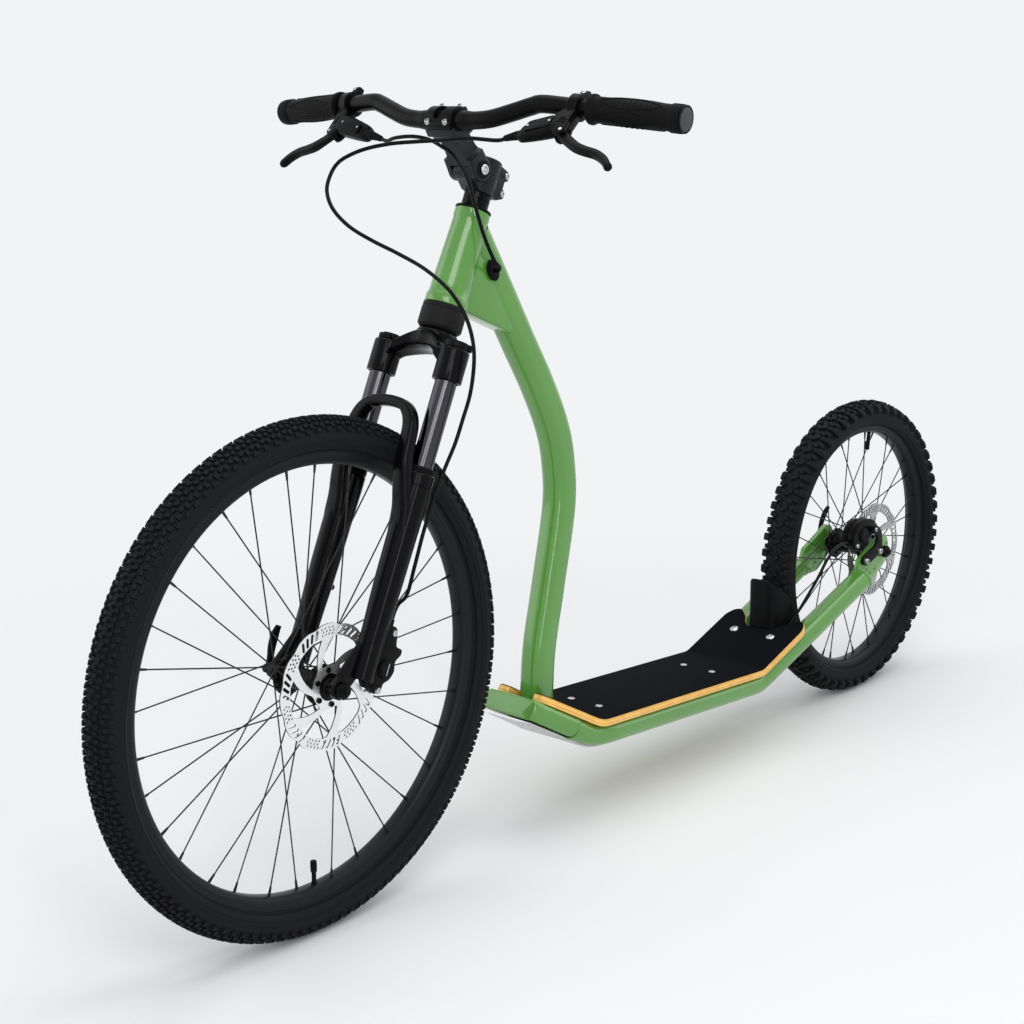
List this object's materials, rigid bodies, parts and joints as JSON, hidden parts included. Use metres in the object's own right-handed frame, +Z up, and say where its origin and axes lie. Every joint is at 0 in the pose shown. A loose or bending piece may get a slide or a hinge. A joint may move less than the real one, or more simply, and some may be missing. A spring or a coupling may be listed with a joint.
{
  "type": "dog scooter",
  "caption": "Off-road dog scooter with suspension fork, big front and small rear knobbly wheels, bent plywood deck, disc brakes and riser bar.",
  "frame": {"origin": "on the ground, under the middle of the scooter's length and width", "axes": "+X forwards, +Y to the rider's left, +Z up"},
  "size_m": [1.8468, 0.6864, 1.0279],
  "materials": {
    "deck_bearer_front": "satin",
    "deck_bearer_middle": "satin",
    "deck_bearer_rear": "satin",
    "deck_board": "satin",
    "down_tube": "satin",
    "fork_crown": "gloss",
    "fork_lowers": "gloss",
    "front_axle": "satin",
    "front_caliper": "satin",
    "front_crossmember": "satin",
    "front_hose_lower": "satin",
    "front_hose_upper": "satin",
    "front_hub": "satin",
    "front_release_lever": "satin",
    "front_rim": "satin",
    "front_rotor": "satin",
    "front_tyre": "matte",
    "grip_sheet": "matte",
    "handlebar": "satin",
    "head_tube": "satin",
    "hose_grommet": "matte",
    "left_brake_lever": "satin",
    "left_dropout": "satin",
    "left_end_cap": "satin",
    "left_grip": "matte",
    "left_master_cylinder": "satin",
    "left_rail": "satin",
    "left_stanchion": "polished",
    "left_wiper": "matte",
    "lockout_knob": "matte",
    "lower_headset_cup": "satin",
    "neck_gusset": "satin",
    "preload_dial": "matte",
    "rear_axle": "satin",
    "rear_caliper": "satin",
    "rear_hose_lower": "satin",
    "rear_hose_run": "satin",
    "rear_hose_upper": "satin",
    "rear_hub": "satin",
    "rear_release_lever": "satin",
    "rear_rim": "satin",
    "rear_rotor": "satin",
    "rear_tyre": "matte",
    "right_brake_lever": "satin",
    "right_dropout": "satin",
    "right_end_cap": "satin",
    "right_grip": "matte",
    "right_master_cylinder": "satin",
    "right_rail": "satin",
    "right_stanchion": "polished",
    "right_wiper": "matte",
    "skid_strip": "satin",
    "steerer_spacer": "satin",
    "stem_arm": "satin",
    "stem_base": "satin",
    "stem_faceplate": "satin",
    "stem_pivot_bolt": "satin",
    "upper_headset_cup": "satin",
    "wheel_guard": "matte"
  },
  "bodies": {
    "frame": {"head_tube": "head_tube", "down_tube": "down_tube", "neck_gusset": "neck_gusset", "front_crossmember": "front_crossmember", "left_rail": "left_rail", "right_rail": "right_rail", "left_dropout": "left_dropout", "right_dropout": "right_dropout", "deck_bearer_front": "deck_bearer_front", "deck_bearer_middle": "deck_bearer_middle", "deck_bearer_rear": "deck_bearer_rear", "deck_board": "deck_board", "grip_sheet": "grip_sheet", "wheel_guard": "wheel_guard", "skid_strip": "skid_strip", "hose_grommet": "hose_grommet", "upper_headset_cup": "upper_headset_cup", "lower_headset_cup": "lower_headset_cup", "rear_caliper": "rear_caliper", "rear_axle": "rear_axle", "rear_hose_run": "rear_hose_run", "rear_hose_lower": "rear_hose_lower"},
    "steerer": {"fork_crown": "fork_crown", "left_stanchion": "left_stanchion", "right_stanchion": "right_stanchion", "stem_base": "stem_base", "steerer_spacer": "steerer_spacer", "stem_pivot_bolt": "stem_pivot_bolt"},
    "handlebar": {"stem_arm": "stem_arm", "stem_faceplate": "stem_faceplate", "handlebar": "handlebar", "left_grip": "left_grip", "right_grip": "right_grip", "left_end_cap": "left_end_cap", "right_end_cap": "right_end_cap", "left_master_cylinder": "left_master_cylinder", "right_master_cylinder": "right_master_cylinder", "front_hose_upper": "front_hose_upper", "rear_hose_upper": "rear_hose_upper"},
    "left_brake_lever": {"left_brake_lever": "left_brake_lever"},
    "right_brake_lever": {"right_brake_lever": "right_brake_lever"},
    "fork_lowers": {"fork_lowers": "fork_lowers", "left_wiper": "left_wiper", "right_wiper": "right_wiper", "front_caliper": "front_caliper", "front_axle": "front_axle", "front_hose_lower": "front_hose_lower"},
    "front_wheel": {"front_tyre": "front_tyre", "front_rim": "front_rim", "front_hub": "front_hub", "front_rotor": "front_rotor"},
    "rear_wheel": {"rear_tyre": "rear_tyre", "rear_rim": "rear_rim", "rear_hub": "rear_hub", "rear_rotor": "rear_rotor"},
    "front_release_lever": {"front_release_lever": "front_release_lever"},
    "rear_release_lever": {"rear_release_lever": "rear_release_lever"},
    "preload_dial": {"preload_dial": "preload_dial"},
    "lockout_knob": {"lockout_knob": "lockout_knob"}
  },
  "joints": [
    {"name": "steering", "type": "hinge", "parent": "frame", "child": "steerer", "pos_m": [0.34026, 0, 0.76204], "axis": [-0.4187, 0, 0.9081], "range_deg": [-70, 70], "deforming": ["rear_hose_lower"]},
    {"name": "stem_tilt", "type": "hinge", "parent": "steerer", "child": "handlebar", "pos_m": [0.29241, 0, 0.93269], "axis": [0, 1, 0], "range_deg": [-34, 26], "deforming": ["front_hose_upper", "rear_hose_upper"]},
    {"name": "left_lever_pull", "type": "hinge", "parent": "handlebar", "child": "left_brake_lever", "pos_m": [0.34626, 0.19888, 0.98057], "axis": [0.6303, 0.1413, 0.7633], "range_deg": [0, 25], "stiffness_Nm_per_rad": 1.2, "springref_deg": -14.32},
    {"name": "right_lever_pull", "type": "hinge", "parent": "handlebar", "child": "right_brake_lever", "pos_m": [0.33895, -0.19739, 0.97348], "axis": [-0.7821, 0.1468, -0.6056], "range_deg": [0, 25], "stiffness_Nm_per_rad": 1.2, "springref_deg": -14.32},
    {"name": "fork_travel", "type": "slide", "parent": "steerer", "child": "fork_lowers", "axis": [-0.4187, 0, 0.9081], "range_m": [0, 0.08], "stiffness_N_per_m": 8000, "springref_m": -0.02, "deforming": ["front_hose_lower"]},
    {"name": "front_wheel_spin", "type": "hinge", "parent": "fork_lowers", "child": "front_wheel", "pos_m": [0.59542, 0, 0.328], "axis": [0, 1, 0], "continuous": true},
    {"name": "rear_wheel_spin", "type": "hinge", "parent": "frame", "child": "rear_wheel", "pos_m": [-0.67192, 0, 0.2515], "axis": [0, 1, 0], "continuous": true},
    {"name": "front_lever_open", "type": "hinge", "parent": "fork_lowers", "child": "front_release_lever", "pos_m": [0.59542, -0.0724, 0.328], "axis": [0.9205, 0, 0.3907], "range_deg": [0, 170]},
    {"name": "rear_lever_open", "type": "hinge", "parent": "frame", "child": "rear_release_lever", "pos_m": [-0.67192, -0.0724, 0.2515], "axis": [0.8192, 0, 0.5736], "range_deg": [0, 170]},
    {"name": "preload_turn", "type": "hinge", "parent": "steerer", "child": "preload_dial", "pos_m": [0.35933, 0.0575, 0.77083], "axis": [-0.4187, 0, 0.9081], "range_deg": [0, 300]},
    {"name": "lockout_turn", "type": "hinge", "parent": "steerer", "child": "lockout_knob", "pos_m": [0.35933, -0.0575, 0.77083], "axis": [-0.4187, 0, 0.9081], "range_deg": [0, 90]}
  ]
}
